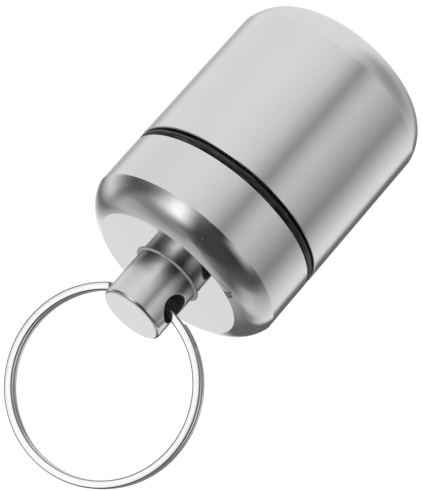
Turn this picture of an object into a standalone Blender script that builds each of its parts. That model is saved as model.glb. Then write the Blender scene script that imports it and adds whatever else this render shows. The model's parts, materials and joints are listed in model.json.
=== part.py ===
# Earplug case keychain: a turned aluminium canister with a screw cap, a rubber O-ring in the seam
# and a split ring through the cross-drilled knob. It stands on its blind end, +Z runs to the knob,
# the knob is drilled along X, and the origin is the centre of the base. Sizes are in metres.
import bmesh
import bpy
import math
from mathutils import Matrix, Vector

# Capsule, outside
BODY_RADIUS = 0.0135
CANISTER_LENGTH = 0.0249
BASE_ROUND_RADIUS = 0.0056
SEAM_HEIGHT = 0.0013
RIM_CHAMFER = 0.00025
SKIRT_LENGTH = 0.0069
SHOULDER_SIZE = 0.00335
SHOULDER_EDGE_ANGLE = math.radians(17.5)

# Capsule, inside
CANISTER_WALL = 0.0011
CANISTER_FLOOR = 0.0015
MOUTH_CHAMFER = 0.0003
SPIGOT_CLEARANCE = 0.0003
SPIGOT_WALL = 0.0012
SPIGOT_CHAMFER = 0.0004
THREAD_PITCH = 0.001
THREAD_TURNS = 4
CAP_ROOF = 0.0024
CAP_BORE_ROUND_RADIUS = 0.0010

# Knob on the cap
KNOB_RADIUS = 0.0042
KNOB_LENGTH = 0.00715
KNOB_EDGE_RADIUS = 0.00025
KNOB_ROOT_RADIUS = 0.00035
HOLE_RADIUS = 0.0019
HOLE_HEIGHT = 0.00368
HOLE_OVERRUN = 0.002

# Rubber ring in the seam
O_RING_GAP = 0.00015
O_RING_RECESS = 0.00005

# Split ring
RING_OUTER_RADIUS = 0.0125
RING_WIRE_WIDTH = 0.00105
RING_WIRE_THICKNESS = 0.00082
RING_WIRE_CORNER = 0.0002
RING_TURN_GAP = 0.00015
RING_PULL = 0.00018
RING_SLIDE = -0.00012
RING_SWING = math.radians(28.3)
RING_TWIST = math.radians(12.7)
RING_STEP_ANGLE = math.radians(24)
RING_BACK_END_ANGLE = math.radians(27.5)
RING_FRONT_END_ANGLE = math.radians(23.2)

# How finely round things are divided
TURNING_STEPS = 72
ARC_STEPS = 8
HOLE_STEPS = 40
RING_STEPS_PER_TURN = 60
RING_STEP_POINTS = 14
MERGE_DISTANCE = 0.000005
SHARP_ANGLE = math.radians(30)

# Places that follow from the sizes
CAP_RIM_Z = CANISTER_LENGTH + SEAM_HEIGHT
SHOULDER_Z = CAP_RIM_Z + SKIRT_LENGTH
FACE_Z = SHOULDER_Z + SHOULDER_SIZE
KNOB_END_Z = FACE_Z + KNOB_LENGTH
HOLE_Z = FACE_Z + HOLE_HEIGHT
FACE_RADIUS = BODY_RADIUS - SHOULDER_SIZE
CANISTER_BORE_RADIUS = BODY_RADIUS - CANISTER_WALL
SPIGOT_RADIUS = CANISTER_BORE_RADIUS - SPIGOT_CLEARANCE
SPIGOT_END_Z = CANISTER_LENGTH - THREAD_TURNS * THREAD_PITCH
CAP_BORE_RADIUS = SPIGOT_RADIUS - SPIGOT_WALL
CAP_BORE_TOP_Z = FACE_Z - CAP_ROOF
RING_WIRE_PATH_RADIUS = RING_OUTER_RADIUS - RING_WIRE_WIDTH / 2


def clear_scene():
    for item in list(bpy.data.objects):
        bpy.data.objects.remove(item, do_unlink=True)


def new_collection(name):
    collection = bpy.data.collections.new(name)
    bpy.context.scene.collection.children.link(collection)
    return collection


def finish_material(name, colour, roughness, metallic):
    material = bpy.data.materials.new(name)
    material.use_nodes = True
    shader = material.node_tree.nodes["Principled BSDF"]
    shader.inputs["Base Color"].default_value = (*colour, 1)
    shader.inputs["Roughness"].default_value = roughness
    shader.inputs["Metallic"].default_value = metallic
    return material


def arc(centre_r, centre_z, radius_r, radius_z, start, end, steps=ARC_STEPS):
    """Points of an elliptical arc, its angle counted from the radial direction towards +Z."""
    points = []
    for step in range(steps + 1):
        angle = start + (end - start) * step / steps
        points.append((centre_r + radius_r * math.cos(angle), centre_z + radius_z * math.sin(angle)))
    return points


def turned_piece(name, profile, origin_z, material, collection, closed=False):
    """A profile of (radius, height) points turned about Z by a Screw modifier."""
    mesh = bpy.data.meshes.new(name)
    points = [(radius, 0, height - origin_z) for radius, height in profile]
    edges = [(i, i + 1) for i in range(len(points) - 1)]
    if closed:
        edges.append((len(points) - 1, 0))
    mesh.from_pydata(points, edges, [])
    piece = bpy.data.objects.new(name, mesh)
    piece.location = (0, 0, origin_z)
    collection.objects.link(piece)
    piece.data.materials.append(material)
    turning = piece.modifiers.new("Turning", "SCREW")
    turning.angle = math.tau
    turning.steps = TURNING_STEPS
    turning.render_steps = TURNING_STEPS
    turning.use_merge_vertices = True
    turning.merge_threshold = MERGE_DISTANCE
    turning.use_smooth_shade = True
    return piece


def canister_profile():
    """From the middle of the floor up the bore, over the rim and down the outside to the base."""
    flat_radius = BODY_RADIUS - BASE_ROUND_RADIUS
    bore_round_radius = CANISTER_BORE_RADIUS - flat_radius
    bore_round_height = BASE_ROUND_RADIUS - CANISTER_FLOOR
    profile = [(0, CANISTER_FLOOR)]
    profile += arc(flat_radius, BASE_ROUND_RADIUS, bore_round_radius, bore_round_height, -math.pi / 2, 0)
    profile.append((CANISTER_BORE_RADIUS, CANISTER_LENGTH - MOUTH_CHAMFER))
    profile.append((CANISTER_BORE_RADIUS + MOUTH_CHAMFER, CANISTER_LENGTH))
    profile.append((BODY_RADIUS - RIM_CHAMFER, CANISTER_LENGTH))
    profile.append((BODY_RADIUS, CANISTER_LENGTH - RIM_CHAMFER))
    profile += arc(flat_radius, BASE_ROUND_RADIUS, BASE_ROUND_RADIUS, BASE_ROUND_RADIUS, 0, -math.pi / 2)
    profile.append((0, 0))
    return profile


def cap_profile():
    """From the middle of the knob's end down the outside, round the spigot and up its bore."""
    # the shoulder is one arc that meets the skirt and the face at equal crisp edges
    edge_cos = math.cos(SHOULDER_EDGE_ANGLE)
    edge_sin = math.sin(SHOULDER_EDGE_ANGLE)
    shoulder_radius = SHOULDER_SIZE / (edge_cos - edge_sin)
    shoulder_r = FACE_RADIUS - shoulder_radius * edge_sin
    shoulder_z = SHOULDER_Z - shoulder_radius * edge_sin
    knob_edge = KNOB_RADIUS - KNOB_EDGE_RADIUS
    profile = [(0, KNOB_END_Z)]
    profile += arc(knob_edge, KNOB_END_Z - KNOB_EDGE_RADIUS, KNOB_EDGE_RADIUS, KNOB_EDGE_RADIUS,
                   math.pi / 2, 0, ARC_STEPS // 2)
    profile += arc(KNOB_RADIUS + KNOB_ROOT_RADIUS, FACE_Z + KNOB_ROOT_RADIUS, KNOB_ROOT_RADIUS,
                   KNOB_ROOT_RADIUS, math.pi, math.pi * 3 / 2, ARC_STEPS // 2)
    profile += arc(shoulder_r, shoulder_z, shoulder_radius, shoulder_radius,
                   math.pi / 2 - SHOULDER_EDGE_ANGLE, SHOULDER_EDGE_ANGLE)
    profile.append((BODY_RADIUS, CAP_RIM_Z + RIM_CHAMFER))
    profile.append((BODY_RADIUS - RIM_CHAMFER, CAP_RIM_Z))
    profile.append((SPIGOT_RADIUS, CAP_RIM_Z))
    profile.append((SPIGOT_RADIUS, SPIGOT_END_Z + SPIGOT_CHAMFER))
    profile.append((SPIGOT_RADIUS - SPIGOT_CHAMFER, SPIGOT_END_Z))
    profile.append((CAP_BORE_RADIUS, SPIGOT_END_Z))
    profile += arc(CAP_BORE_RADIUS - CAP_BORE_ROUND_RADIUS, CAP_BORE_TOP_Z - CAP_BORE_ROUND_RADIUS,
                   CAP_BORE_ROUND_RADIUS, CAP_BORE_ROUND_RADIUS, 0, math.pi / 2, ARC_STEPS // 2)
    profile.append((0, CAP_BORE_TOP_Z))
    return profile


def cut_cross_hole(cap, cutters):
    """The hole along X through the knob."""
    bpy.ops.mesh.primitive_cylinder_add(vertices=HOLE_STEPS, radius=HOLE_RADIUS,
                                        depth=2 * (KNOB_RADIUS + HOLE_OVERRUN))
    drill = bpy.context.active_object
    drill.name = "cross_hole_drill"
    for collection in list(drill.users_collection):
        collection.objects.unlink(drill)
    cutters.objects.link(drill)
    drill.rotation_euler = (0, math.pi / 2, 0)
    drill.location = (0, 0, HOLE_Z)
    drill.hide_render = True
    drill.display_type = "WIRE"
    cut = cap.modifiers.new("Cross hole", "BOOLEAN")
    cut.operation = "DIFFERENCE"
    cut.solver = "EXACT"
    cut.object = drill


def o_ring_profile():
    """The squeezed oval section of the rubber ring, between the two rims and round the spigot."""
    inner = SPIGOT_RADIUS + O_RING_GAP
    outer = BODY_RADIUS - O_RING_RECESS
    half_height = SEAM_HEIGHT / 2 - O_RING_GAP
    middle_z = CANISTER_LENGTH + SEAM_HEIGHT / 2
    section = arc((inner + outer) / 2, middle_z, (outer - inner) / 2, half_height,
                  math.pi / 2, -math.pi * 3 / 2, ARC_STEPS * 2)
    return section[:-1]


def ring_level(angle):
    """How far the wire has stepped across, -1 to 1, at an angle from the cross hole."""
    share = max(-1, min(1, angle / RING_STEP_ANGLE))
    return (3 * share - share ** 3) / 2


def ring_path():
    """Two turns: from the back turn's end all the way round, the step through the hole, and round again."""
    back_turn = math.tau - RING_BACK_END_ANGLE - RING_STEP_ANGLE
    front_turn = math.tau - RING_FRONT_END_ANGLE - RING_STEP_ANGLE
    steps = math.ceil(RING_STEPS_PER_TURN * front_turn / math.tau)
    angles = [RING_BACK_END_ANGLE - math.tau + back_turn * i / steps for i in range(steps)]
    angles += [RING_STEP_ANGLE * (2 * i / RING_STEP_POINTS - 1) for i in range(RING_STEP_POINTS)]
    angles += [RING_STEP_ANGLE + front_turn * i / steps for i in range(steps + 1)]
    level_height = (RING_WIRE_THICKNESS + RING_TURN_GAP) / 2
    centre = RING_WIRE_PATH_RADIUS + RING_PULL
    points = []
    for angle in angles:
        points.append(Vector((RING_WIRE_PATH_RADIUS * math.sin(angle),
                              centre - RING_WIRE_PATH_RADIUS * math.cos(angle),
                              level_height * ring_level(angle))))
    return points


def ring_place():
    """The ring at rest: along the wire in the hole, towards the ring's middle, and square to both."""
    outward = Vector((0, -math.sin(RING_SWING), math.cos(RING_SWING)))
    across = Vector((0, math.cos(RING_SWING), math.sin(RING_SWING)))
    along = Vector((1, 0, 0)) * math.cos(RING_TWIST) - across * math.sin(RING_TWIST)
    normal = across * math.cos(RING_TWIST) + Vector((1, 0, 0)) * math.sin(RING_TWIST)
    turn = Matrix((along, outward, normal)).transposed().to_4x4()
    return Matrix.Translation((RING_SLIDE, 0, 0)) @ turn


def wire_section(cutters):
    """The flat wire's section, a rectangle with its corners taken off."""
    curve = bpy.data.curves.new("ring_wire_section", "CURVE")
    curve.dimensions = "2D"
    half_width = RING_WIRE_WIDTH / 2
    half_thickness = RING_WIRE_THICKNESS / 2
    inner_width = half_width - RING_WIRE_CORNER
    inner_thickness = half_thickness - RING_WIRE_CORNER
    quarter = [(half_width, inner_thickness), (inner_width, half_thickness)]
    corners = quarter + [(-x, y) for x, y in reversed(quarter)]
    corners += [(-x, -y) for x, y in quarter] + [(x, -y) for x, y in reversed(quarter)]
    spline = curve.splines.new("POLY")
    spline.points.add(len(corners) - 1)
    for point, (x, y) in zip(spline.points, corners):
        point.co = (x, y, 0, 1)
    spline.use_cyclic_u = True
    section = bpy.data.objects.new("ring_wire_section", curve)
    section.hide_render = True
    section.display_type = "WIRE"
    cutters.objects.link(section)
    return section


def make_split_ring(material, collection, cutters, parent):
    curve = bpy.data.curves.new("split_ring_path", "CURVE")
    curve.dimensions = "3D"
    curve.twist_mode = "Z_UP"
    curve.bevel_mode = "OBJECT"
    curve.bevel_object = wire_section(cutters)
    curve.use_fill_caps = True
    points = ring_path()
    spline = curve.splines.new("POLY")
    spline.points.add(len(points) - 1)
    for point, place in zip(spline.points, points):
        point.co = (*place, 1)
    wire = bpy.data.objects.new("split_ring_path", curve)
    collection.objects.link(wire)
    bpy.context.view_layer.update()
    evaluated = wire.evaluated_get(bpy.context.evaluated_depsgraph_get())
    mesh = bpy.data.meshes.new_from_object(evaluated)
    bpy.data.objects.remove(wire, do_unlink=True)
    weld_and_turn_out(mesh)
    mesh.name = "split_ring"
    ring = bpy.data.objects.new("split_ring", mesh)
    collection.objects.link(ring)
    ring.data.materials.clear()
    ring.data.materials.append(material)
    ring.parent = parent
    ring.matrix_local = ring_place()
    mesh.shade_smooth()
    mesh.set_sharp_from_angle(angle=SHARP_ANGLE)
    return ring


def weld_and_turn_out(mesh):
    """Close the wire's end caps and make every face point outwards."""
    shape = bmesh.new()
    shape.from_mesh(mesh)
    bmesh.ops.remove_doubles(shape, verts=shape.verts, dist=MERGE_DISTANCE)
    bmesh.ops.recalc_face_normals(shape, faces=shape.faces)
    shape.to_mesh(mesh)
    shape.free()


def joint_empty(name, place, collection, parent=None):
    """An empty on a joint's axis, which carries what the joint moves."""
    empty = bpy.data.objects.new(name, None)
    collection.objects.link(empty)
    empty.parent = parent
    empty.location = place
    return empty


def attach(piece, empty, empty_place):
    piece.parent = empty
    piece.location = piece.location - Vector(empty_place)


def main():
    clear_scene()
    parts = new_collection("earplug_case_keychain")
    cutters = new_collection("cutters")
    aluminium = finish_material("turned_aluminium", (0.80, 0.80, 0.80), 0.3, 1)
    rubber = finish_material("black_rubber", (0.012, 0.012, 0.012), 0.5, 0)
    steel = finish_material("nickel_plated_steel", (0.75, 0.75, 0.75), 0.15, 1)

    turned_piece("canister", canister_profile(), 0, aluminium, parts)
    cap = turned_piece("screw_cap", cap_profile(), CAP_RIM_Z, aluminium, parts)
    cut_cross_hole(cap, cutters)
    o_ring = turned_piece("o_ring", o_ring_profile(), CANISTER_LENGTH, rubber, parts, closed=True)

    # the rubber ring lifts with the cap, the cap turns on it, and the split ring swings in the hole
    lift_place = (0, 0, CANISTER_LENGTH)
    turn_place = (0, 0, CAP_RIM_Z)
    swing_place = (0, 0, HOLE_Z)
    cap_lift = joint_empty("cap_lift", lift_place, parts)
    cap_turn = joint_empty("cap_turn", Vector(turn_place) - Vector(lift_place), parts, cap_lift)
    ring_swing = joint_empty("ring_swing", Vector(swing_place) - Vector(turn_place), parts, cap_turn)
    attach(o_ring, cap_lift, lift_place)
    attach(cap, cap_turn, turn_place)
    make_split_ring(steel, parts, cutters, ring_swing)
    bpy.context.view_layer.update()


main()
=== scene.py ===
# Earplug case keychain: finishes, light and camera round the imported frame.
# Lengths in the settings are millimetres and angles are degrees, unless a note says otherwise.
import bmesh
import bpy
import json
import math
from mathutils import Matrix, Vector


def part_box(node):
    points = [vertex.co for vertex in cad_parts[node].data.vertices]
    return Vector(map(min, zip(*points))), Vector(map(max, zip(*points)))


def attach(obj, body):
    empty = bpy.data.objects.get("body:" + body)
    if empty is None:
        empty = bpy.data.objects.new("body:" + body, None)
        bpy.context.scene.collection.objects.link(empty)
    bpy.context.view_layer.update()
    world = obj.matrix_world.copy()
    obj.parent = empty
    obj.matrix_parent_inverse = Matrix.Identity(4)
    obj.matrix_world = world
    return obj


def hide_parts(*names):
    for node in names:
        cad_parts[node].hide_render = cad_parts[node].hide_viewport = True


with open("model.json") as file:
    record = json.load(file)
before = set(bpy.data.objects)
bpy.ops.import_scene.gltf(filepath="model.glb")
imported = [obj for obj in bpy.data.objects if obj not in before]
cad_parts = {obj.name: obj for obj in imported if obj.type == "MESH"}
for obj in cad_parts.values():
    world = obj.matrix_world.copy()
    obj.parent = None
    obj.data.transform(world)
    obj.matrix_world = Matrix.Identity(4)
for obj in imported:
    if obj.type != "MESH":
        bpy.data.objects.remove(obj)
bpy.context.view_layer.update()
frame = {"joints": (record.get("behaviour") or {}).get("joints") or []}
mm = 0.001

# what the frame fixes, in millimetres
joints = {joint["name"]: joint for joint in frame["joints"]}
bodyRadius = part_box("canister")[1].x / mm
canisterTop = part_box("canister")[1].z / mm
capRim = joints["cap_turn"]["pos_m"][2] / mm
holeHeight = joints["ring_swing"]["pos_m"][2] / mm
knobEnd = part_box("screw_cap")[1].z / mm
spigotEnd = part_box("screw_cap")[0].z / mm
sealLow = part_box("o_ring")[0].z / mm
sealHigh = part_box("o_ring")[1].z / mm
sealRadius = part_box("o_ring")[1].x / mm
print("frame: body radius", round(bodyRadius, 3), "cap rim", round(capRim, 3),
      "knob end", round(knobEnd, 3))

# how finely turned pieces are divided, and how they are welded and smoothed
turning = {"steps": 256, "rimSteps": 10, "supportInset": 0.03, "weld": 0.002, "sharpAngle": 12}

white = (1, 1, 1, 1)
# a Mix node's sockets by place: two values or two colours go in, and one colour comes out
valueA, valueB, colourA, colourB, mixedColour = 2, 3, 6, 7, 2


# sRGB hex code to the linear colour that a shader reads
def hexColour(code):
    shares = [int(code[i:i + 2], 16) / 255 for i in (1, 3, 5)]
    return tuple(s / 12.92 if s <= 0.04045 else ((s + 0.055) / 1.055) ** 2.4 for s in shares) + (1,)


# one node with its settings; an input takes a value, a socket, or a node, whose first output is linked
def addNode(tree, kind, inputs=None, **settings):
    node = tree.nodes.new(kind)
    for name, value in settings.items():
        setattr(node, name, value)
    for key, value in (inputs or {}).items():
        if isinstance(value, bpy.types.Node):
            value = value.outputs[0]
        if isinstance(value, bpy.types.NodeSocket):
            tree.links.new(value, node.inputs[key])
        else:
            node.inputs[key].default_value = value
    return node


# an outline is a list of (radius, height) points; this gives those of an elliptical arc, at angles counted
# from straight outwards towards straight up
def arcPoints(centre, radii, start, end, steps):
    points = []
    for step in range(steps + 1):
        angle = math.radians(start + (end - start) * step / steps)
        points.append((centre[0] + radii[0] * math.cos(angle), centre[1] + radii[1] * math.sin(angle)))
    return points


# a straight run with a support ring just inside each end, so that its shading stays flat
def straightRun(start, end, rows=1):
    length = math.dist(start, end)
    inset = turning["supportInset"] / length
    shares = [0, inset] + [i / rows for i in range(1, rows)] + [1 - inset, 1]
    return [(start[0] + (end[0] - start[0]) * s, start[1] + (end[1] - start[1]) * s) for s in shares]


# one outline point turned round the axis; a point on the axis stays one vertex
def addRing(shape, radius, height):
    if radius == 0:
        return [shape.verts.new((0, 0, height * mm))]
    steps = turning["steps"]
    places = [(math.cos(math.tau * i / steps), math.sin(math.tau * i / steps)) for i in range(steps)]
    return [shape.verts.new((radius * x * mm, radius * y * mm, height * mm)) for x, y in places]


# faces between two rings, or between a ring and the point at its middle
def joinRings(shape, first, second):
    if len(first) == 1:
        first, second = second, first
    count = len(first)
    for i in range(count):
        after = (i + 1) % count
        if len(second) == 1:
            shape.faces.new((first[i], first[after], second[0]))
        else:
            shape.faces.new((first[i], first[after], second[after], second[i]))


def turnOutline(shape, outline, closed=False):
    rings = [addRing(shape, radius, height) for radius, height in outline]
    pairs = list(zip(rings, rings[1:]))
    if closed:
        pairs.append((rings[-1], rings[0]))
    for first, second in pairs:
        joinRings(shape, first, second)


# the shape goes into a mesh, welded, with its faces outwards, and smooth but for its sharp edges
def fillMesh(mesh, shape, sharpAngle):
    bmesh.ops.remove_doubles(shape, verts=shape.verts, dist=turning["weld"] * mm)
    bmesh.ops.recalc_face_normals(shape, faces=shape.faces)
    shape.to_mesh(mesh)
    shape.free()
    mesh.shade_smooth()
    mesh.set_sharp_from_angle(angle=math.radians(sharpAngle))


def addPiece(name):
    piece = bpy.data.objects.new(name, bpy.data.meshes.new(name))
    bpy.context.scene.collection.objects.link(piece)
    return piece


def turnedPiece(name, shape, material):
    piece = addPiece(name)
    fillMesh(piece.data, shape, turning["sharpAngle"])
    piece.data.materials.append(material)
    return piece


# an empty Geometry Nodes tree with its named inputs
def newTree(name, inputs):
    tree = bpy.data.node_groups.new(name, "GeometryNodeTree")
    tree.interface.new_socket("Geometry", in_out="INPUT", socket_type="NodeSocketGeometry")
    for label, kind in inputs:
        tree.interface.new_socket(label, in_out="INPUT", socket_type=kind)
    tree.interface.new_socket("Geometry", in_out="OUTPUT", socket_type="NodeSocketGeometry")
    return tree, addNode(tree, "NodeGroupInput").outputs


# the modifier is run, its result becomes the piece's own mesh, and the modifier goes
def applyTree(piece, tree, values):
    modifier = piece.modifiers.new(tree.name, "NODES")
    modifier.node_group = tree
    for item in tree.interface.items_tree:
        if item.in_out == "INPUT" and item.name in values:
            modifier[item.identifier] = values[item.name]
    bpy.context.view_layer.update()
    evaluated = piece.evaluated_get(bpy.context.evaluated_depsgraph_get())
    mesh = bpy.data.meshes.new_from_object(evaluated)
    piece.modifiers.remove(modifier)
    mesh.name = piece.name
    piece.data = mesh
    return piece


# what the thread on the spigot and the one in the mouth share; the shares are parts of one pitch
threadShape = {"pitch": 1.0, "crestShare": 0.06, "runOut": 0.35, "wallTolerance": 0.02}


# helical ridges that stand off the wall of the given radius, towards the axis if their height is negative
def threadTree():
    measures = ("Root Radius", "Ridge Height", "Pitch", "Low", "High", "Run Out",
                "Crest Share", "Flank Share", "Start Share", "Wall Tolerance")
    inputs = [(label, "NodeSocketFloat") for label in measures]
    tree, given = newTree("cutThread", inputs + [("Material", "NodeSocketMaterial")])
    axes = addNode(tree, "ShaderNodeSeparateXYZ", {0: addNode(tree, "GeometryNodeInputPosition")}).outputs
    flat = addNode(tree, "ShaderNodeCombineXYZ", {"X": axes["X"], "Y": axes["Y"]})
    radius = addNode(tree, "ShaderNodeVectorMath", {0: flat}, operation="LENGTH").outputs["Value"]
    outward = addNode(tree, "ShaderNodeVectorMath", {0: flat}, operation="NORMALIZE")
    # how far along one pitch each point lies, for a right-hand thread
    angle = addNode(tree, "ShaderNodeMath", {0: axes["Y"], 1: axes["X"]}, operation="ARCTAN2")
    turn = addNode(tree, "ShaderNodeMath", {0: angle, 1: math.tau}, operation="DIVIDE")
    climb = addNode(tree, "ShaderNodeMath", {0: axes["Z"], 1: given["Pitch"]}, operation="DIVIDE")
    wound = addNode(tree, "ShaderNodeMath", {0: climb, 1: turn}, operation="SUBTRACT")
    started = addNode(tree, "ShaderNodeMath", {0: wound, 1: given["Start Share"]}, operation="ADD")
    phase = addNode(tree, "ShaderNodeMath", {0: started}, operation="FRACT")
    # the crest is at the middle of the pitch, and a flank falls away at each side of it
    centred = addNode(tree, "ShaderNodeMath", {0: phase, 1: 0.5}, operation="SUBTRACT")
    offCentre = addNode(tree, "ShaderNodeMath", {0: centred}, operation="ABSOLUTE")
    pastCrest = addNode(tree, "ShaderNodeMath", {0: offCentre, 1: given["Crest Share"]},
                        operation="SUBTRACT")
    flank = addNode(tree, "ShaderNodeMath", {0: pastCrest, 1: given["Flank Share"]},
                    operation="DIVIDE", use_clamp=True)
    ridge = addNode(tree, "ShaderNodeMath", {0: 1.0, 1: flank}, operation="SUBTRACT")
    # the ridge runs out at both ends, and only the wall with the root's radius gets it
    aboveLow = addNode(tree, "ShaderNodeMath", {0: axes["Z"], 1: given["Low"]}, operation="SUBTRACT")
    belowHigh = addNode(tree, "ShaderNodeMath", {0: given["High"], 1: axes["Z"]}, operation="SUBTRACT")
    rise = addNode(tree, "ShaderNodeMath", {0: aboveLow, 1: given["Run Out"]},
                   operation="DIVIDE", use_clamp=True)
    fall = addNode(tree, "ShaderNodeMath", {0: belowHigh, 1: given["Run Out"]},
                   operation="DIVIDE", use_clamp=True)
    onWall = addNode(tree, "ShaderNodeMath",
                     {0: radius, 1: given["Root Radius"], 2: given["Wall Tolerance"]}, operation="COMPARE")
    length = addNode(tree, "ShaderNodeMath", {0: rise, 1: fall}, operation="MULTIPLY")
    threaded = addNode(tree, "ShaderNodeMath", {0: length, 1: onWall}, operation="MULTIPLY")
    share = addNode(tree, "ShaderNodeMath", {0: ridge, 1: threaded}, operation="MULTIPLY")
    height = addNode(tree, "ShaderNodeMath", {0: share, 1: given["Ridge Height"]}, operation="MULTIPLY")
    offset = addNode(tree, "ShaderNodeVectorMath", {0: outward, "Scale": height}, operation="SCALE")
    moved = addNode(tree, "GeometryNodeSetPosition", {"Geometry": given["Geometry"], "Offset": offset})
    inThread = addNode(tree, "ShaderNodeMath", {0: threaded, 1: 0.0}, operation="GREATER_THAN")
    real = addNode(tree, "GeometryNodeRealizeInstances", {0: moved})
    done = addNode(tree, "GeometryNodeSetMaterial",
                   {"Geometry": real, "Selection": inThread, "Material": given["Material"]})
    addNode(tree, "NodeGroupOutput", {0: done})
    return tree


# the thread of one piece, on its wall of the given radius, from the given height up
def cutThread(piece, size, rootRadius, low):
    return applyTree(piece, threadCutter, {
        "Root Radius": rootRadius * mm, "Ridge Height": size["ridge"] * mm,
        "Pitch": threadShape["pitch"] * mm, "Low": low * mm, "High": size["threadHigh"] * mm,
        "Run Out": threadShape["runOut"] * mm, "Crest Share": threadShape["crestShare"],
        "Flank Share": size["flankShare"], "Start Share": size["startShare"],
        "Wall Tolerance": threadShape["wallTolerance"] * mm, "Material": threadAluminium})


# a Principled material of one colour and roughness, bare metal unless told otherwise
def newMaterial(name, code, roughness, metallic=1):
    material = bpy.data.materials.new(name)
    material.use_nodes = True
    tree = material.node_tree
    shader = tree.nodes["Principled BSDF"]
    shader.inputs["Base Color"].default_value = hexColour(code)
    shader.inputs["Roughness"].default_value = roughness
    shader.inputs["Metallic"].default_value = metallic
    return material, tree, shader


# the bar that canister and cap are turned from; the tool's feed, about 0.05 mm, is drawn coarser to show,
# and the grain is turned by a share of a full turn, so that reflections spread along the axis
barLook = {"colour": "#E4E4E4", "feedMark": 0.22, "markDepth": 0.0016, "markDetail": 3.0, "grainTurn": 0.25}


# rings round the axis: noise that changes with the radius and the height alone
def addTurningMarks(tree, shader, place, pitch, depth):
    axes = addNode(tree, "ShaderNodeSeparateXYZ", {0: place}).outputs
    flat = addNode(tree, "ShaderNodeCombineXYZ", {"X": axes["X"], "Y": axes["Y"]})
    radius = addNode(tree, "ShaderNodeVectorMath", {0: flat}, operation="LENGTH").outputs["Value"]
    section = addNode(tree, "ShaderNodeCombineXYZ", {"X": radius, "Y": axes["Z"]})
    marks = addNode(tree, "ShaderNodeTexNoise",
                    {"Vector": section, "Scale": 1 / (pitch * mm), "Detail": barLook["markDetail"]},
                    noise_dimensions="2D")
    bump = addNode(tree, "ShaderNodeBump", {"Height": marks, "Strength": 1.0, "Distance": depth * mm})
    tree.links.new(bump.outputs[0], shader.inputs["Normal"])
    grain = addNode(tree, "ShaderNodeTangent", direction_type="RADIAL", axis="Z")
    tree.links.new(grain.outputs[0], shader.inputs["Tangent"])
    shader.inputs["Anisotropic Rotation"].default_value = barLook["grainTurn"]
    return bump


satinLook = {"roughness": 0.19, "grain": 0.8, "smudge": 5.0, "smudgeDetail": 4.0,
             "smudgeFrom": 0.35, "smudgeTo": 0.7, "smudgeRoughness": 0.05}


# aluminium turned on a lathe and brought to a satin polish: the fine rings left by the tool spread each
# reflection along the axis and keep it crisp round it, and handling leaves it a little duller in places
def makeSatinAluminium(look):
    material, tree, shader = newMaterial("satinTurnedAluminium", barLook["colour"], look["roughness"])
    place = addNode(tree, "ShaderNodeTexCoord").outputs["Object"]
    addTurningMarks(tree, shader, place, barLook["feedMark"], barLook["markDepth"])
    shader.inputs["Anisotropic"].default_value = look["grain"]
    smudge = addNode(tree, "ShaderNodeTexNoise",
                     {"Vector": place, "Scale": 1 / (look["smudge"] * mm), "Detail": look["smudgeDetail"]})
    handled = addNode(tree, "ShaderNodeMapRange", {
        "Value": smudge, "From Min": look["smudgeFrom"], "From Max": look["smudgeTo"],
        "To Min": look["roughness"], "To Max": look["roughness"] + look["smudgeRoughness"]})
    tree.links.new(handled.outputs[0], shader.inputs["Roughness"])
    return material


polishedLook = {"roughness": 0.08, "markDepth": 0.0004, "speck": 0.27, "speckDetail": 2.0,
                "speckFrom": 0.718, "speckTo": 0.768, "speckDepth": 0.015}


# the same bar buffed bright on the shoulder and the flat faces: close to a mirror, with a few specks
def makePolishedAluminium(look):
    material, tree, shader = newMaterial("polishedAluminium", barLook["colour"], look["roughness"])
    place = addNode(tree, "ShaderNodeTexCoord").outputs["Object"]
    marks = addTurningMarks(tree, shader, place, barLook["feedMark"], look["markDepth"])
    specks = addNode(tree, "ShaderNodeTexNoise",
                     {"Vector": place, "Scale": 1 / (look["speck"] * mm), "Detail": look["speckDetail"]})
    peaks = addNode(tree, "ShaderNodeMapRange",
                    {"Value": specks, "From Min": look["speckFrom"], "From Max": look["speckTo"]})
    dents = addNode(tree, "ShaderNodeBump", {
        "Height": peaks, "Strength": 1.0, "Distance": look["speckDepth"] * mm, "Normal": marks})
    tree.links.new(dents.outputs[0], shader.inputs["Normal"])
    return material


knobLook = {"roughness": 0.24, "grain": 0.85, "paintedRootShade": "#6E6E6E", "paintedShadeFade": 4.48,
            "blotch": 1.5, "blotchDetail": 3.0, "blotchReach": 2.56}


# the knob's side, turned and left satin: reflections run on along the knob. Painted shade darkens its
# colour in the corner at its root and fades out with height above the face, along an uneven edge
def makeKnobAluminium(look):
    material, tree, shader = newMaterial("turnedKnobAluminium", barLook["colour"], look["roughness"])
    place = addNode(tree, "ShaderNodeTexCoord").outputs["Object"]
    addTurningMarks(tree, shader, place, barLook["feedMark"], barLook["markDepth"])
    shader.inputs["Anisotropic"].default_value = look["grain"]
    height = addNode(tree, "ShaderNodeSeparateXYZ", {0: place}).outputs["Z"]
    blotch = addNode(tree, "ShaderNodeTexNoise",
                     {"Vector": place, "Scale": 1 / (look["blotch"] * mm), "Detail": look["blotchDetail"]})
    uneven = addNode(tree, "ShaderNodeMath", {0: blotch, 1: look["blotchReach"] * mm, 2: height},
                     operation="MULTIPLY_ADD")
    # painted shade: the colour is darker near the root and fades to the bar's colour higher up
    pastShade = addNode(tree, "ShaderNodeMapRange", {
        "Value": uneven, "From Min": faceHeight * mm, "From Max": (faceHeight + look["paintedShadeFade"]) * mm},
        interpolation_type="SMOOTHSTEP")
    colour = addNode(tree, "ShaderNodeMix", {0: pastShade, colourA: hexColour(look["paintedRootShade"]),
                                             colourB: hexColour(barLook["colour"])}, data_type="RGBA")
    tree.links.new(colour.outputs[mixedColour], shader.inputs["Base Color"])
    return material


paintedRootHighlightLook = {"colour": "#FFFFFF", "roughness": 0.5, "metallic": 0}


# a painted highlight: a white, rough surface that is not metal, drawing a thin pale line in the corner at
# the knob's root
def makePaintedRootHighlight(look):
    return newMaterial("paintedRootHighlight", look["colour"], look["roughness"], look["metallic"])[0]


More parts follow.
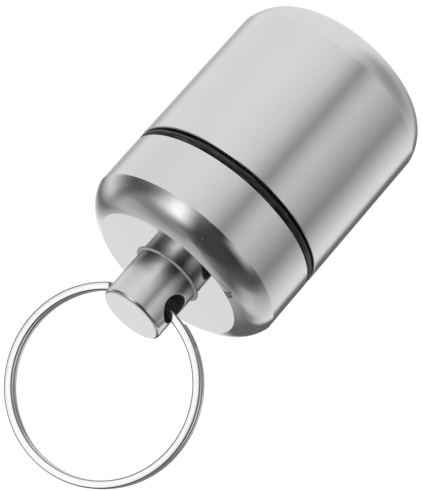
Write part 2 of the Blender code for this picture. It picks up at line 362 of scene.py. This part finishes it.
threadLook = {"roughness": 0.3, "feedMark": 0.11}


# cut, not polished: the flanks of the thread stay a little duller than the outside
def makeThreadAluminium(look):
    material, tree, shader = newMaterial("cutThreadAluminium", barLook["colour"], look["roughness"])
    place = addNode(tree, "ShaderNodeTexCoord").outputs["Object"]
    addTurningMarks(tree, shader, place, look["feedMark"], barLook["markDepth"])
    return material


drilledLook = {"colour": "#A8A8A8", "roughness": 0.5}


# a wall left by the drill and never polished, rougher than the outside. Its darker base colour is painted
# shade: it darkens the cross hole and draws the darker lines beside the painted highlight at the knob's
# root
def makeShadedDrilledAluminium(look):
    return newMaterial("drilledAluminium", look["colour"], look["roughness"])[0]


rubberLook = {"colour": "#1E1E1E", "roughness": 0.42, "scuff": "#8A8A8A", "scuffDetail": 3.0,
              "scuffWidth": 0.12, "scuffLength": 3.0, "scuffFrom": 0.54, "scuffTo": 0.72}


# moulded nitrile rubber: nearly black with a soft sheen, and fine dry scuffs round it where the rims rub it
def makeSealRubber(look):
    material, tree, shader = newMaterial("mouldedNitrileRubber", look["colour"], look["roughness"], 0)
    place = addNode(tree, "ShaderNodeTexCoord").outputs["Object"]
    around, across = 1 / (look["scuffLength"] * mm), 1 / (look["scuffWidth"] * mm)
    drawn = addNode(tree, "ShaderNodeVectorMath", {0: place, 1: (around, around, across)},
                    operation="MULTIPLY")
    streaks = addNode(tree, "ShaderNodeTexNoise",
                      {"Vector": drawn, "Scale": 1.0, "Detail": look["scuffDetail"]})
    scuffed = addNode(tree, "ShaderNodeMapRange",
                      {"Value": streaks, "From Min": look["scuffFrom"], "From Max": look["scuffTo"]})
    colour = addNode(tree, "ShaderNodeMix", {0: scuffed, colourA: hexColour(look["colour"]),
                                             colourB: hexColour(look["scuff"])}, data_type="RGBA")
    tree.links.new(colour.outputs[mixedColour], shader.inputs["Base Color"])
    return material


steelLook = {"colour": "#E8E8E8", "roughness": 0.1, "lineMarkAndShade": "#7E7E7E", "edgeShadeFrom": 0.62, "edgeShadeTo": 0.8,
             "line": 0.2, "lineDetail": 1.0, "lineDepth": 0.004, "lineFrom": 0.55, "lineTo": 0.7,
             "lineDulling": 0.25}


# hard drawn spring steel, nickel plated: bright flats with fine darker lines from the drawing die along the
# wire, and painted shade that darkens the wire's rounded corners
def makeRingSteel(look):
    material, tree, shader = newMaterial("nickelPlatedSpringSteel", look["colour"], look["roughness"])
    section = addNode(tree, "ShaderNodeAttribute", attribute_name="section").outputs["Vector"]
    lines = addNode(tree, "ShaderNodeTexNoise",
                    {"Vector": section, "Scale": 1 / (look["line"] * mm), "Detail": look["lineDetail"]},
                    noise_dimensions="2D")
    bump = addNode(tree, "ShaderNodeBump",
                   {"Height": lines, "Strength": 1.0, "Distance": look["lineDepth"] * mm})
    tree.links.new(bump.outputs[0], shader.inputs["Normal"])
    # the product of the two distances from the section's middle is greatest in the wire's corners
    axes = addNode(tree, "ShaderNodeSeparateXYZ", {0: section}).outputs
    product = addNode(tree, "ShaderNodeMath", {0: axes["X"], 1: axes["Y"]}, operation="MULTIPLY")
    nearCorner = addNode(tree, "ShaderNodeMath", {0: product}, operation="ABSOLUTE")
    corner = ringShape["wireWidth"] / 2 * ringShape["wireThickness"] / 2 * mm ** 2
    # painted shade: the colour darkens towards the wire's corners
    edgeShade = addNode(tree, "ShaderNodeMapRange", {
        "Value": nearCorner, "From Min": look["edgeShadeFrom"] * corner, "From Max": look["edgeShadeTo"] * corner})
    drawn = addNode(tree, "ShaderNodeMapRange", {
        "Value": lines, "From Min": look["lineFrom"], "From Max": look["lineTo"],
        "To Max": look["lineDulling"]})
    dark = addNode(tree, "ShaderNodeMath", {0: edgeShade, 1: drawn}, operation="MAXIMUM")
    colour = addNode(tree, "ShaderNodeMix", {0: dark, colourA: hexColour(look["colour"]),
                                             colourB: hexColour(look["lineMarkAndShade"])}, data_type="RGBA")
    tree.links.new(colour.outputs[mixedColour], shader.inputs["Base Color"])
    return material


# the ridge is negative, because it stands inwards from the bore; the crease lies its angle down the base's
# round; thread places are heights above the base
canisterShape = {
    "wall": 1.1, "floor": 1.5, "baseRound": 5.6, "creaseAngle": 8, "rimRound": 0.15, "mouthChamfer": 0.3,
    "threadLow": 20.5, "threadHigh": 24.7, "threadRows": 100, "ridge": -0.45, "flankShare": 0.26,
    "startShare": 0.5, "sideRows": 6, "floorRoundSteps": 32, "baseRoundSteps": 40,
}


# from the middle of the floor up the bore, over the rim and down the outside to the middle of the base
def canisterOutline(size):
    floor, baseRound = size["floor"], size["baseRound"]
    rim, chamfer = size["rimRound"], size["mouthChamfer"]
    flat = bodyRadius - baseRound
    bore = bodyRadius - size["wall"]
    outline = [(0, floor)] + straightRun((flat / 2, floor), (flat, floor))
    outline += arcPoints((flat, baseRound), (bore - flat, baseRound - floor), -90, 0,
                         size["floorRoundSteps"])[1:]
    outline += straightRun((bore, baseRound), (bore, size["threadLow"]))[1:]
    outline += straightRun((bore, size["threadLow"]), (bore, size["threadHigh"]), size["threadRows"])[1:]
    outline.append((bore, canisterTop - chamfer))
    outline += straightRun((bore + chamfer, canisterTop), (bodyRadius - rim, canisterTop))
    outline += arcPoints((bodyRadius - rim, canisterTop - rim), (rim, rim), 90, 0, turning["rimSteps"])[1:]
    # the side meets the round base in a faint crease, with a support ring at each side of it
    crease = size["creaseAngle"]
    inset = math.degrees(turning["supportInset"] / baseRound)
    centre, radii = (flat, baseRound), (baseRound, baseRound)
    start = arcPoints(centre, radii, -crease, -crease - inset, 1)
    outline += straightRun((bodyRadius, canisterTop - rim), start[0], size["sideRows"])[1:] + start[1:]
    outline += arcPoints(centre, radii, -crease - inset, -90, size["baseRoundSteps"])[1:]
    outline += straightRun((flat, 0), (flat / 2, 0))[1:]
    outline.append((0, 0))
    return outline


def makeCanister(size):
    shape = bmesh.new()
    turnOutline(shape, canisterOutline(size))
    piece = turnedPiece("canisterShell", shape, satinAluminium)
    return cutThread(piece, size, bodyRadius - size["wall"], size["threadLow"])


# the spigot is plain above reliefHigh and has the thread's root radius below it; the painted highlight at
# the knob's root starts at a share of the root's width; a face's middle may lie a slack off a surface and
# still count as part of it
capShape = {
    "skirt": 6.9, "shoulderSize": 3.35, "shoulderEdgeAngle": 17.5, "rimRound": 0.15,
    "knobRadius": 4.2, "knobEdge": 0.42, "knobRoot": 0.26, "rootGroove": 0.2, "highlightShare": 0.08,
    "holeRadius": 1.9, "holeEdge": 0.12, "spigotRadius": 12.1, "spigotWall": 1.2, "spigotChamfer": 0.4,
    "roof": 2.4, "boreRound": 1.0, "rootRadius": 11.75, "reliefHigh": 24.75, "threadHigh": 24.2,
    "threadRows": 90, "ridge": 0.5, "flankShare": 0.29, "startShare": 0.0,
    "rootSteps": 12, "faceRows": 3, "shoulderSteps": 36, "skirtRows": 4, "boreRoundSteps": 12,
    "sideRows": 34, "patchRows": 18, "patchPower": 1.4, "edgeRows": 6, "wallRows": 16,
    "faceSlack": 0.001, "sideSlack": 0.005, "holeSlack": 0.01,
}
shoulderHeight = capRim + capShape["skirt"]
faceHeight = shoulderHeight + capShape["shoulderSize"]


# from the middle of the knob's end to the top of its side
def knobEndOutline(size):
    knob, edge = size["knobRadius"], size["knobEdge"]
    outline = [(0, knobEnd)] + straightRun((knob / 2, knobEnd), (knob - edge, knobEnd))
    return outline + arcPoints((knob - edge, knobEnd - edge), (edge, edge), 90, 0, turning["rimSteps"])[1:]


# from the knob's root over the face, the shoulder and the skirt, then round the spigot and up inside it
def capOutline(size):
    knob, root, rim = size["knobRadius"], size["knobRoot"], size["rimRound"]
    faceRadius = bodyRadius - size["shoulderSize"]
    groove = knob + root + size["rootGroove"]
    outline = arcPoints((knob + root, faceHeight + root), (root, root), 180, 270, size["rootSteps"])
    outline += straightRun((knob + root, faceHeight), (groove, faceHeight))[1:]
    outline += straightRun((groove, faceHeight), (faceRadius, faceHeight), size["faceRows"])[1:]
    # the shoulder is one arc, which meets the skirt and the face at equal crisp edges
    edgeAngle = size["shoulderEdgeAngle"]
    edgeCos, edgeSin = math.cos(math.radians(edgeAngle)), math.sin(math.radians(edgeAngle))
    arc = size["shoulderSize"] / (edgeCos - edgeSin)
    arcCentre = (faceRadius - arc * edgeSin, shoulderHeight - arc * edgeSin)
    outline += arcPoints(arcCentre, (arc, arc), 90 - edgeAngle, edgeAngle, size["shoulderSteps"])[1:]
    outline += straightRun((bodyRadius, shoulderHeight), (bodyRadius, capRim + rim), size["skirtRows"])[1:]
    outline += arcPoints((bodyRadius - rim, capRim + rim), (rim, rim), 0, -90, turning["rimSteps"])[1:]
    spigot, cut = size["spigotRadius"], size["rootRadius"]
    outline += straightRun((bodyRadius - rim, capRim), (spigot, capRim))[1:]
    outline += [(spigot, size["reliefHigh"]), (cut, size["reliefHigh"] - (spigot - cut))]
    outline += straightRun((cut, size["threadHigh"]), (cut, spigotEnd), size["threadRows"])
    bore, boreRound = spigot - size["spigotWall"], size["boreRound"]
    roof = faceHeight - size["roof"]
    outline += straightRun((cut - size["spigotChamfer"] / 2, spigotEnd), (bore, spigotEnd))
    outline += straightRun((bore, spigotEnd), (bore, roof - boreRound))[1:]
    outline += arcPoints((bore - boreRound, roof - boreRound), (boreRound, boreRound), 0, 90,
                         size["boreRoundSteps"])[1:]
    outline += straightRun((bore - boreRound, roof), (bore / 2, roof))[1:]
    outline.append((0, roof))
    return outline


# the knob's side and the wall of its cross hole: columns run from the outline of one half of the side,
# over the rounded lip, through the hole and out to the outline of the other half
def knobSide(shape, size, low, high):
    knob, hole, lip = size["knobRadius"], size["holeRadius"], size["holeEdge"]
    half = turning["steps"] // 2
    quarter = math.pi * knob / 2
    # each point of the half's outline: how far round the knob from the hole's axis, and how high
    across = [quarter * (2 * i / half - 1) for i in range(half)]
    down = [i / size["sideRows"] for i in range(size["sideRows"])]
    edge = [(s, high) for s in across] + [(quarter, high + (low - high) * t) for t in down]
    edge += [(-s, low) for s in across] + [(-quarter, low + (high - low) * t) for t in down]
    bearings = [math.atan2(z - holeHeight, s) for s, z in edge]
    rows = []
    for i in range(size["patchRows"] + 1):
        share = (i / size["patchRows"]) ** size["patchPower"]
        row = []
        for (s, z), bearing in zip(edge, bearings):
            lipRound = knob * math.asin((hole + lip) * math.cos(bearing) / knob)
            lipHeight = holeHeight + (hole + lip) * math.sin(bearing)
            angle = (lipRound + (s - lipRound) * share) / knob
            height = lipHeight + (z - lipHeight) * share
            row.append((knob * math.cos(angle), knob * math.sin(angle), height))
        rows.insert(0, row)
    # the lip curves from the side into the hole, towards the corner where the two would meet
    lipStart = rows[-1]
    corners = []
    for bearing in bearings:
        y = hole * math.cos(bearing)
        corners.append((math.sqrt(knob ** 2 - y ** 2), y, holeHeight + hole * math.sin(bearing)))
    for i in range(1, size["edgeRows"] + 1):
        t = i / size["edgeRows"]
        row = []
        for start, corner in zip(lipStart, corners):
            end = (corner[0] - lip, corner[1], corner[2])
            row.append(tuple((1 - t) ** 2 * p + 2 * t * (1 - t) * q + t ** 2 * r
                             for p, q, r in zip(start, corner, end)))
        rows.append(row)
    mirrored = [[(-x, y, z) for x, y, z in row] for row in reversed(rows)]
    wallStart = rows[-1]
    for i in range(1, size["wallRows"]):
        t = 1 - 2 * i / size["wallRows"]
        rows.append([(x * t, y, z) for x, y, z in wallStart])
    rows += mirrored
    rings = [[shape.verts.new(Vector(place) * mm) for place in row] for row in rows]
    for first, second in zip(rings, rings[1:]):
        joinRings(shape, first, second)


# the skirt stays satin; the hole, the knob's root, its side, and the rest of the top each get their own
def finishCap(piece, size):
    slots = {}
    for finish, material in (("polished", polishedAluminium), ("drilled", drilledAluminium),
                             ("knob", knobAluminium), ("rootHighlight", paintedRootHighlight)):
        slots[finish] = len(piece.data.materials)
        piece.data.materials.append(material)
    knob, root, slack = size["knobRadius"], size["knobRoot"], size["faceSlack"]
    groove = knob + root + size["rootGroove"]
    for polygon in piece.data.polygons:
        place = polygon.center / mm
        radius = math.hypot(place.x, place.y)
        # painted shade: the cross hole's wall gets the darker colour
        if math.hypot(place.y, place.z - holeHeight) < size["holeRadius"] + size["holeSlack"]:
            polygon.material_index = slots["drilled"]
        elif place.z > faceHeight - slack and knob + slack < radius < groove:
            # the painted highlight lies on the root's round, past its share of the root's width; the rest
            # of the groove gets painted shade
            rootHighlight = size["highlightShare"] < (radius - knob) / root < 1
            polygon.material_index = slots["rootHighlight" if rootHighlight else "drilled"]
        elif place.z > faceHeight and abs(radius - knob) < size["sideSlack"]:
            polygon.material_index = slots["knob"]
        elif place.z > shoulderHeight + slack:
            polygon.material_index = slots["polished"]


def makeCap(size):
    shape = bmesh.new()
    turnOutline(shape, knobEndOutline(size))
    knobSide(shape, size, faceHeight + size["knobRoot"], knobEnd - size["knobEdge"])
    turnOutline(shape, capOutline(size))
    piece = turnedPiece("capShell", shape, satinAluminium)
    finishCap(piece, size)
    return cutThread(piece, size, size["rootRadius"], spigotEnd)


sealShape = {"innerRadius": 12.25, "sectionSteps": 28}


# an oval section in the seam between the two rims
def makeSeal(size):
    middle = (size["innerRadius"] + sealRadius) / 2
    radii = ((sealRadius - size["innerRadius"]) / 2, (sealHigh - sealLow) / 2)
    outline = arcPoints((middle, (sealLow + sealHigh) / 2), radii, 90, -270, size["sectionSteps"])[:-1]
    shape = bmesh.new()
    turnOutline(shape, outline, closed=True)
    return turnedPiece("rubberRing", shape, sealRubber)


# the ring lies past the hole's axis by its pull and along it by its slide, leans back by its swing and out
# of square by its twist, and each cut end stops short of the hole by its own angle
ringShape = {
    "outerRadius": 12.5, "wireWidth": 1.05, "wireThickness": 0.82, "corner": 0.2, "cornerPoints": 5,
    "turnGap": 0.15, "pull": 0.18, "slide": -0.12, "swing": 28.3, "twist": 12.7, "stepAngle": 24,
    "backEnd": 27.5, "frontEnd": 23.2, "points": 720, "sharpAngle": 35,
}


# the wire runs round twice, and steps from one turn to the other at angle 0
def ringTree():
    measures = ("Path Radius", "Wire Width", "Wire Thickness", "Corner", "Level", "Pull",
                "Step Angle", "Start", "End")
    inputs = [(label, "NodeSocketFloat") for label in measures]
    inputs += [("Points", "NodeSocketInt"), ("Corner Points", "NodeSocketInt")]
    tree, given = newTree("windSplitRing", inputs + [("Material", "NodeSocketMaterial")])
    line = addNode(tree, "GeometryNodeMeshLine", {"Count": given["Points"]}, mode="OFFSET")
    path = addNode(tree, "GeometryNodeMeshToCurve", {"Mesh": line})
    index = addNode(tree, "GeometryNodeInputIndex")
    last = addNode(tree, "ShaderNodeMath", {0: given["Points"], 1: 1.0}, operation="SUBTRACT")
    share = addNode(tree, "ShaderNodeMath", {0: index, 1: last}, operation="DIVIDE")
    sweep = addNode(tree, "ShaderNodeMath", {0: given["End"], 1: given["Start"]}, operation="SUBTRACT")
    angle = addNode(tree, "ShaderNodeMath", {0: share, 1: sweep, 2: given["Start"]},
                    operation="MULTIPLY_ADD")
    # an eased step: three halves of the share less half its cube
    stepShare = addNode(tree, "ShaderNodeMath", {0: angle, 1: given["Step Angle"]}, operation="DIVIDE")
    low = addNode(tree, "ShaderNodeMath", {0: stepShare, 1: -1.0}, operation="MAXIMUM")
    step = addNode(tree, "ShaderNodeMath", {0: low, 1: 1.0}, operation="MINIMUM")
    square = addNode(tree, "ShaderNodeMath", {0: step, 1: step}, operation="MULTIPLY")
    easing = addNode(tree, "ShaderNodeMath", {0: square, 1: -0.5, 2: 1.5}, operation="MULTIPLY_ADD")
    eased = addNode(tree, "ShaderNodeMath", {0: step, 1: easing}, operation="MULTIPLY")
    level = addNode(tree, "ShaderNodeMath", {0: eased, 1: given["Level"]}, operation="MULTIPLY")
    sine = addNode(tree, "ShaderNodeMath", {0: angle}, operation="SINE")
    cosine = addNode(tree, "ShaderNodeMath", {0: angle}, operation="COSINE")
    across = addNode(tree, "ShaderNodeMath", {0: given["Path Radius"], 1: sine}, operation="MULTIPLY")
    fromTop = addNode(tree, "ShaderNodeMath", {0: 1.0, 1: cosine}, operation="SUBTRACT")
    down = addNode(tree, "ShaderNodeMath", {0: given["Path Radius"], 1: fromTop, 2: given["Pull"]},
                   operation="MULTIPLY_ADD")
    place = addNode(tree, "ShaderNodeCombineXYZ", {"X": across, "Y": down, "Z": level})
    wound = addNode(tree, "GeometryNodeSetPosition", {"Geometry": path, "Position": place})
    facing = addNode(tree, "GeometryNodeSetCurveNormal", {"Curve": wound}, mode="Z_UP")
    section = addNode(tree, "GeometryNodeCurvePrimitiveQuadrilateral",
                      {"Width": given["Wire Width"], "Height": given["Wire Thickness"]})
    rounded = addNode(tree, "GeometryNodeFilletCurve",
                      {"Curve": section, "Radius": given["Corner"], "Count": given["Corner Points"]},
                      mode="POLY")
    # each point keeps its place in the section, so that the marks from drawing can run along the wire
    sectionPlace = addNode(tree, "GeometryNodeInputPosition")
    marked = addNode(tree, "GeometryNodeStoreNamedAttribute",
                     {"Geometry": rounded, "Name": "section", "Value": sectionPlace},
                     data_type="FLOAT_VECTOR", domain="POINT")
    wire = addNode(tree, "GeometryNodeCurveToMesh",
                   {"Curve": facing, "Profile Curve": marked, "Fill Caps": True})
    real = addNode(tree, "GeometryNodeRealizeInstances", {0: wire})
    done = addNode(tree, "GeometryNodeSetMaterial", {"Geometry": real, "Material": given["Material"]})
    addNode(tree, "NodeGroupOutput", {0: done})
    return tree


def makeRing(size):
    piece = addPiece("splitRingWire")
    applyTree(piece, ringTree(), {
        "Path Radius": (size["outerRadius"] - size["wireWidth"] / 2) * mm,
        "Wire Width": size["wireWidth"] * mm, "Wire Thickness": size["wireThickness"] * mm,
        "Corner": size["corner"] * mm, "Corner Points": size["cornerPoints"],
        "Level": (size["wireThickness"] + size["turnGap"]) / 2 * mm, "Pull": size["pull"] * mm,
        "Step Angle": math.radians(size["stepAngle"]), "Start": math.radians(size["backEnd"] - 360),
        "End": math.radians(360 - size["frontEnd"]), "Points": size["points"], "Material": ringSteel})
    swing, twist = math.radians(size["swing"]), math.radians(size["twist"])
    outward = Vector((0, -math.sin(swing), math.cos(swing)))
    across = Vector((0, math.cos(swing), math.sin(swing)))
    along = Vector((1, 0, 0)) * math.cos(twist) - across * math.sin(twist)
    normal = across * math.cos(twist) + Vector((1, 0, 0)) * math.sin(twist)
    turn = Matrix((along, outward, normal)).transposed().to_4x4()
    piece.data.transform(Matrix.Translation((size["slide"] * mm, 0, holeHeight * mm)) @ turn)
    shape = bmesh.new()
    shape.from_mesh(piece.data)
    fillMesh(piece.data, shape, size["sharpAngle"])
    return piece


satinAluminium = makeSatinAluminium(satinLook)
polishedAluminium = makePolishedAluminium(polishedLook)
threadAluminium = makeThreadAluminium(threadLook)
knobAluminium = makeKnobAluminium(knobLook)
paintedRootHighlight = makePaintedRootHighlight(paintedRootHighlightLook)
drilledAluminium = makeShadedDrilledAluminium(drilledLook)
sealRubber = makeSealRubber(rubberLook)
ringSteel = makeRingSteel(steelLook)
threadCutter = threadTree()
canister = makeCanister(canisterShape)
cap = makeCap(capShape)
seal = makeSeal(sealShape)
ring = makeRing(ringShape)
for piece in (canister, cap, seal, ring):
    print("made", piece.name, len(piece.data.polygons), "faces")

for piece, body, node, slot in (
        (canister, "canister", "canister", "canister_aluminium"),
        (cap, "cap", "screw_cap", "cap_aluminium"),
        (seal, "seal", "o_ring", "black_rubber"),
        (ring, "key_ring", "split_ring", "ring_steel")):
    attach(piece, body)
    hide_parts(node)


# the studio: a white tent round the object, and what stands out in it, as seen from the object. Azimuth is
# from +X towards +Y. Each area has half its width and half its height, and fades over its soft width and
# soft height to its own level. A level of 1 is white. A fitting program worked out the base level and the
# areas from the brightness in the photograph, and the areas' names are guesses at what it found. Then
# leftWindow, paleCard, brightLeft and contactGap were changed, and cornerShade was added
tent = {
    "level": 0.89,
    "areas": {
        "darkCeiling": {"azimuth": -15, "elevation": 86, "half": (205, 36), "soft": (14, 87), "level": 0.4},
        "darkRoom": {"azimuth": 28, "elevation": 40, "half": (54, 51), "soft": (71, 53), "level": 0.05},
        "cameraSide": {"azimuth": 21, "elevation": 59, "half": (106, 25), "soft": (46, 90), "level": 0.06},
        "greyTable": {"azimuth": -19, "elevation": -61, "half": (64, 22), "soft": (90, 29), "level": 0.34},
        "leftWindow": {"azimuth": -68, "elevation": 24, "half": (28, 19), "soft": (14, 28), "level": 0.72},
        "paleCard": {"azimuth": 12, "elevation": -10, "half": (18, 32), "soft": (24, 24), "level": 0.70},
        "leftSeam": {"azimuth": -24, "elevation": 3, "half": (13, 40), "soft": (89, 42), "level": 0.00},
        "rightSeam": {"azimuth": 44, "elevation": -29, "half": (3, 17), "soft": (50, 14), "level": 0.01},
        "softbox": {"azimuth": 129, "elevation": 35, "half": (44, 23), "soft": (39, 29), "level": 1.59},
        "darkWall": {"azimuth": 152, "elevation": 50, "half": (39, 43), "soft": (68, 12), "level": 0.27},
        "darkCorner": {"azimuth": 157, "elevation": 11, "half": (40, 20), "soft": (68, 22), "level": 0.11},
        "brightLeft": {"azimuth": -169, "elevation": 4, "half": (12, 17), "soft": (52, 18), "level": 0.88},
        "backSeam": {"azimuth": -149, "elevation": 3, "half": (7, 30), "soft": (35, 41), "level": 0.00},
        "tableGlow": {"azimuth": -123, "elevation": -13, "half": (11, 30), "soft": (15, 9), "level": 1.06},
        "cornerShade": {"azimuth": -82, "elevation": 30, "half": (6, 14), "soft": (16, 20), "level": 0.25},
        "contactGap": {"azimuth": -99, "elevation": -5, "half": (14, 46), "soft": (9, 50), "level": 0.14},
    },
}


# metal sees the tent all round, below the floor too, and the camera sees plain white
def addWorld(studio):
    world = bpy.data.worlds.new("studioTent")
    bpy.context.scene.world = world
    world.use_nodes = True
    tree = world.node_tree
    direction = addNode(tree, "ShaderNodeTexCoord").outputs["Generated"]
    axes = addNode(tree, "ShaderNodeSeparateXYZ", {0: direction}).outputs
    azimuth = addNode(tree, "ShaderNodeMath", {0: axes["Y"], 1: axes["X"]}, operation="ARCTAN2")
    elevation = addNode(tree, "ShaderNodeMath", {0: axes["Z"]}, operation="ARCSINE")
    level = studio["level"]
    for area in studio["areas"].values():
        turned = addNode(tree, "ShaderNodeMath", {0: azimuth, 1: math.radians(area["azimuth"])},
                         operation="SUBTRACT")
        around = addNode(tree, "ShaderNodeMath", {0: turned, 1: math.pi, 2: -math.pi}, operation="WRAP")
        above = addNode(tree, "ShaderNodeMath", {0: elevation, 1: math.radians(area["elevation"])},
                        operation="SUBTRACT")
        edges = []
        for offset, half, soft in zip((around, above), area["half"], area["soft"]):
            distance = addNode(tree, "ShaderNodeMath", {0: offset}, operation="ABSOLUTE")
            edges.append(addNode(tree, "ShaderNodeMapRange", {
                "Value": distance, "From Min": math.radians(half - soft / 2),
                "From Max": math.radians(half + soft / 2), "To Min": 1.0, "To Max": 0.0},
                interpolation_type="SMOOTHSTEP"))
        inside = addNode(tree, "ShaderNodeMath", {0: edges[0], 1: edges[1]}, operation="MULTIPLY")
        level = addNode(tree, "ShaderNodeMix", {0: inside, valueA: level, valueB: area["level"]},
                        data_type="FLOAT")
    forCamera = addNode(tree, "ShaderNodeLightPath").outputs["Is Camera Ray"]
    strength = addNode(tree, "ShaderNodeMix", {0: forCamera, valueA: level, valueB: 1.0}, data_type="FLOAT")
    background = tree.nodes["Background"]
    background.inputs["Color"].default_value = white
    tree.links.new(strength.outputs[0], background.inputs["Strength"])


floorLook = {"reach": 2000, "paper": "#D8D8D8", "roughness": 1, "glow": 0.82}


# white paper under the object; part of its white is its own, so that only a faint shadow stays on it
def addFloor(look):
    reach = look["reach"] * mm
    floor = addPiece("floor")
    corners = [(-reach, -reach, 0), (reach, -reach, 0), (reach, reach, 0), (-reach, reach, 0)]
    floor.data.from_pydata(corners, [], [(0, 1, 2, 3)])
    floor.visible_glossy = False
    paper, tree, shader = newMaterial("whitePaper", look["paper"], look["roughness"], 0)
    shader.inputs["Emission Color"].default_value = white
    rays = addNode(tree, "ShaderNodeLightPath").outputs
    mirrored = addNode(tree, "ShaderNodeMath", {0: rays["Is Glossy Ray"], 1: rays["Is Transmission Ray"]},
                       operation="MAXIMUM")
    seen = addNode(tree, "ShaderNodeMath", {0: rays["Is Camera Ray"], 1: mirrored}, operation="MAXIMUM")
    glow = addNode(tree, "ShaderNodeMath", {0: seen, 1: look["glow"]}, operation="MULTIPLY")
    tree.links.new(glow.outputs[0], shader.inputs["Emission Strength"])
    floor.data.materials.append(paper)


# fitting the object's outlines to those in the photograph gave these numbers
cameraView = {"azimuth": 147.164, "elevation": 21.495, "roll": -138.905, "distance": 426.28,
              "target": (0.673, -2.212, 29.344), "lens": 297.87, "sensor": 36}


# the camera looks at its target from the given side, rolled about its own line of sight
def addCamera(view):
    azimuth, elevation, roll = (math.radians(view[key]) for key in ("azimuth", "elevation", "roll"))
    back = Vector((math.sin(azimuth) * math.cos(elevation), -math.cos(azimuth) * math.cos(elevation),
                   math.sin(elevation)))
    level = Vector((math.cos(azimuth), math.sin(azimuth), 0))
    upright = back.cross(level)
    right = level * math.cos(roll) + upright * math.sin(roll)
    up = back.cross(right)
    data = bpy.data.cameras.new("camera")
    data.sensor_fit = "HORIZONTAL"
    data.sensor_width = view["sensor"]
    data.lens = view["lens"]
    camera = bpy.data.objects.new("camera", data)
    bpy.context.scene.collection.objects.link(camera)
    place = (Vector(view["target"]) + back * view["distance"]) * mm
    camera.matrix_world = Matrix.Translation(place) @ Matrix((right, up, back)).transposed().to_4x4()
    bpy.context.scene.camera = camera


addFloor(floorLook)
addWorld(tent)
addCamera(cameraView)
bpy.context.scene.view_settings.view_transform = "Standard"
print("studio: floor,", len(tent["areas"]), "areas in the tent, and camera")
